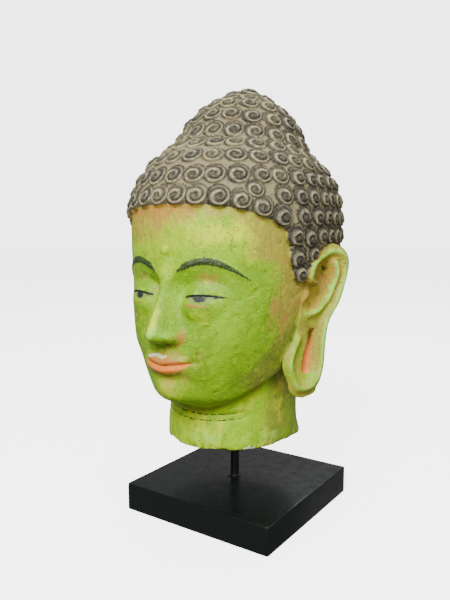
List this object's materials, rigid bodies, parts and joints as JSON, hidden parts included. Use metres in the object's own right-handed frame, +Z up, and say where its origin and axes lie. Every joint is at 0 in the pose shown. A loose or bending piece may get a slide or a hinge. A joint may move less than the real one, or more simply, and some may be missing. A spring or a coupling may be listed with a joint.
{
  "type": "buddha head sculpture on stand",
  "caption": "Painted stone Buddha head with snail-curl hair, crown bump and long ears, on a steel rod above a square black plinth; stands on its flat underside.",
  "frame": {"origin": "middle of the plinth's flat underside, straight below the rod", "axes": "+Z up along the rod; the face looks along -Y; +X is on the right of the object as seen from the front"},
  "size_m": [0.2028, 0.2334, 0.389],
  "materials": {
    "painted_stone": "green and ochre paint with a worn satin sheen, grey-brown hair",
    "black_rod": "satin black",
    "black_plinth": "black satin lacquer"
  },
  "bodies": {
    "root": {"buddha_head": "painted_stone", "support_rod": "black_rod", "plinth": "black_plinth"}
  },
  "joints": []
}
